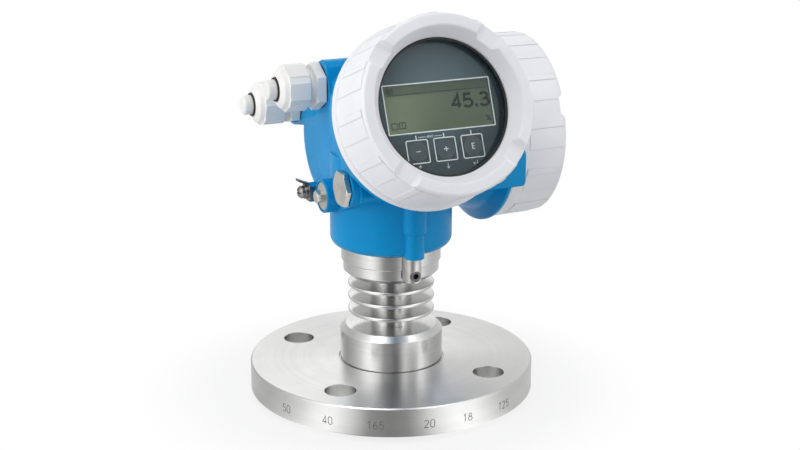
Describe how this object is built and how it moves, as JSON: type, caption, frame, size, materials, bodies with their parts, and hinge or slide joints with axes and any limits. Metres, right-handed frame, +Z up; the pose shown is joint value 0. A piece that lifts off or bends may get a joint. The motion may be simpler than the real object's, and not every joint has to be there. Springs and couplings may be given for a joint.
{
  "type": "radar level transmitter",
  "caption": "Flanged radar level transmitter: steel flange, finned neck, blue two-compartment head with display, screw covers, cable glands and a flush antenna window.",
  "frame": {"origin": "centre of the flange's sealing face", "axes": "+Z up the neck away from the process, -Y towards the display side, +X towards the terminal cover, cable entries on -X"},
  "size_m": [0.1782, 0.1783, 0.2319],
  "materials": {
    "steel": "turned stainless steel",
    "dark_steel": "dark steel",
    "plated_steel": "nickel plated",
    "waveguide": "fine drawn",
    "blue_paint": "satin blue powder coat",
    "white_paint": "satin pale grey powder coat",
    "gland_plastic": "pale grey polyamide",
    "plug_plastic": "pale grey plastic",
    "window_plastic": "white fluoropolymer",
    "seal": "black rubber",
    "ring_plastic": "black",
    "glass": "clear flat glass",
    "display_case": "dark grey",
    "display_foil": "dark slate printed foil",
    "lcd": "grey green display glass",
    "keys": "dark slate",
    "module": "black moulded case",
    "holder": "grey",
    "terminal_plastic": "green terminal housing"
  },
  "bodies": {
    "base": {"process_flange": "steel", "antenna_window": "window_plastic", "window_seal": "seal", "antenna_adapter": "steel", "finned_neck": "steel", "process_seal": "window_plastic", "waveguide_tube": "waveguide", "neck_collar": "steel", "neck_seal": "seal"},
    "head": {"housing": "blue_paint", "clamp_block": "steel", "clamp_screw": "dark_steel", "hf_module": "module", "electronics_module": "module", "display_holder": "holder", "terminal_block": "terminal_plastic", "terminal_screws": "plated_steel", "inner_ground_screw": "plated_steel", "hex_plug": "plated_steel", "hex_plug_gasket": "seal", "vent_washer": "plated_steel", "vent_plug": "plated_steel", "ground_clamp": "plated_steel", "ground_washers": "plated_steel", "ground_screw": "plated_steel", "gland_washer_1": "seal", "gland_body_1": "gland_plastic", "gland_washer_2": "seal", "gland_body_2": "gland_plastic"},
    "front_seal": {"cover_seal": "seal"},
    "front_cover": {"display_cover": "white_paint", "window_glass": "glass", "glass_gasket": "seal", "glass_ring": "ring_plastic"},
    "side_seal": {"terminal_cover_seal": "seal"},
    "side_cover": {"terminal_cover": "white_paint"},
    "display_unit": {"display_body": "display_case", "display_foil": "display_foil", "lcd_panel": "lcd"},
    "minus_key": {"key_minus": "keys"},
    "plus_key": {"key_plus": "keys"},
    "enter_key": {"key_enter": "keys"},
    "gland_core_1": {"gland_insert_1": "seal", "gland_plug_1": "plug_plastic"},
    "gland_cap_1": {"gland_nut_1": "gland_plastic"},
    "gland_core_2": {"gland_insert_2": "seal", "gland_plug_2": "plug_plastic"},
    "gland_cap_2": {"gland_nut_2": "gland_plastic"}
  },
  "joints": [
    {"name": "head_turn", "type": "hinge", "parent": "base", "child": "head", "pos_m": [0, 0, 0.09], "axis": [0, 0, 1], "range_deg": [-175, 175]},
    {"name": "display_cover_turn", "type": "hinge", "parent": "head", "child": "front_seal", "pos_m": [0, -0.04086, 0.17184], "axis": [0, -0.9245, 0.3811], "range_deg": [0, 2520]},
    {"name": "display_cover_travel", "type": "slide", "parent": "front_seal", "child": "front_cover", "axis": [0, -0.9245, 0.3811], "range_m": [0, 0.014]},
    {"name": "terminal_cover_turn", "type": "hinge", "parent": "head", "child": "side_seal", "pos_m": [0.0632, 0.02, 0.1476], "axis": [1, 0, 0], "range_deg": [0, 2520]},
    {"name": "terminal_cover_travel", "type": "slide", "parent": "side_seal", "child": "side_cover", "axis": [1, 0, 0], "range_m": [0, 0.014]},
    {"name": "display_turn", "type": "hinge", "parent": "head", "child": "display_unit", "pos_m": [0, -0.06268, 0.18084], "axis": [0, -0.9245, 0.3811], "range_deg": [-180, 180]},
    {"name": "minus_key_press", "type": "slide", "parent": "display_unit", "child": "minus_key", "axis": [0, -0.9245, 0.3811], "range_m": [-0.0008, 0], "stiffness_N_per_m": 1500, "springref_m": 0.0004},
    {"name": "plus_key_press", "type": "slide", "parent": "display_unit", "child": "plus_key", "axis": [0, -0.9245, 0.3811], "range_m": [-0.0008, 0], "stiffness_N_per_m": 1500, "springref_m": 0.0004},
    {"name": "enter_key_press", "type": "slide", "parent": "display_unit", "child": "enter_key", "axis": [0, -0.9245, 0.3811], "range_m": [-0.0008, 0], "stiffness_N_per_m": 1500, "springref_m": 0.0004},
    {"name": "gland_1_turn", "type": "hinge", "parent": "head", "child": "gland_core_1", "pos_m": [-0.0354, 0.01901, 0.18091], "axis": [-1, 0, 0], "range_deg": [0, 1440]},
    {"name": "gland_1_travel", "type": "slide", "parent": "gland_core_1", "child": "gland_cap_1", "axis": [-1, 0, 0], "range_m": [0, 0.0062]},
    {"name": "gland_2_turn", "type": "hinge", "parent": "head", "child": "gland_core_2", "pos_m": [-0.0354, 0.06061, 0.16376], "axis": [-1, 0, 0], "range_deg": [0, 1440]},
    {"name": "gland_2_travel", "type": "slide", "parent": "gland_core_2", "child": "gland_cap_2", "axis": [-1, 0, 0], "range_m": [0, 0.0062]}
  ],
  "couplings": [
    {"joint": "display_cover_travel", "follows": "display_cover_turn", "m_per_rad": 0.00031831},
    {"joint": "terminal_cover_travel", "follows": "terminal_cover_turn", "m_per_rad": 0.00031831},
    {"joint": "gland_1_travel", "follows": "gland_1_turn", "m_per_rad": 0.00023873},
    {"joint": "gland_2_travel", "follows": "gland_2_turn", "m_per_rad": 0.00023873}
  ]
}
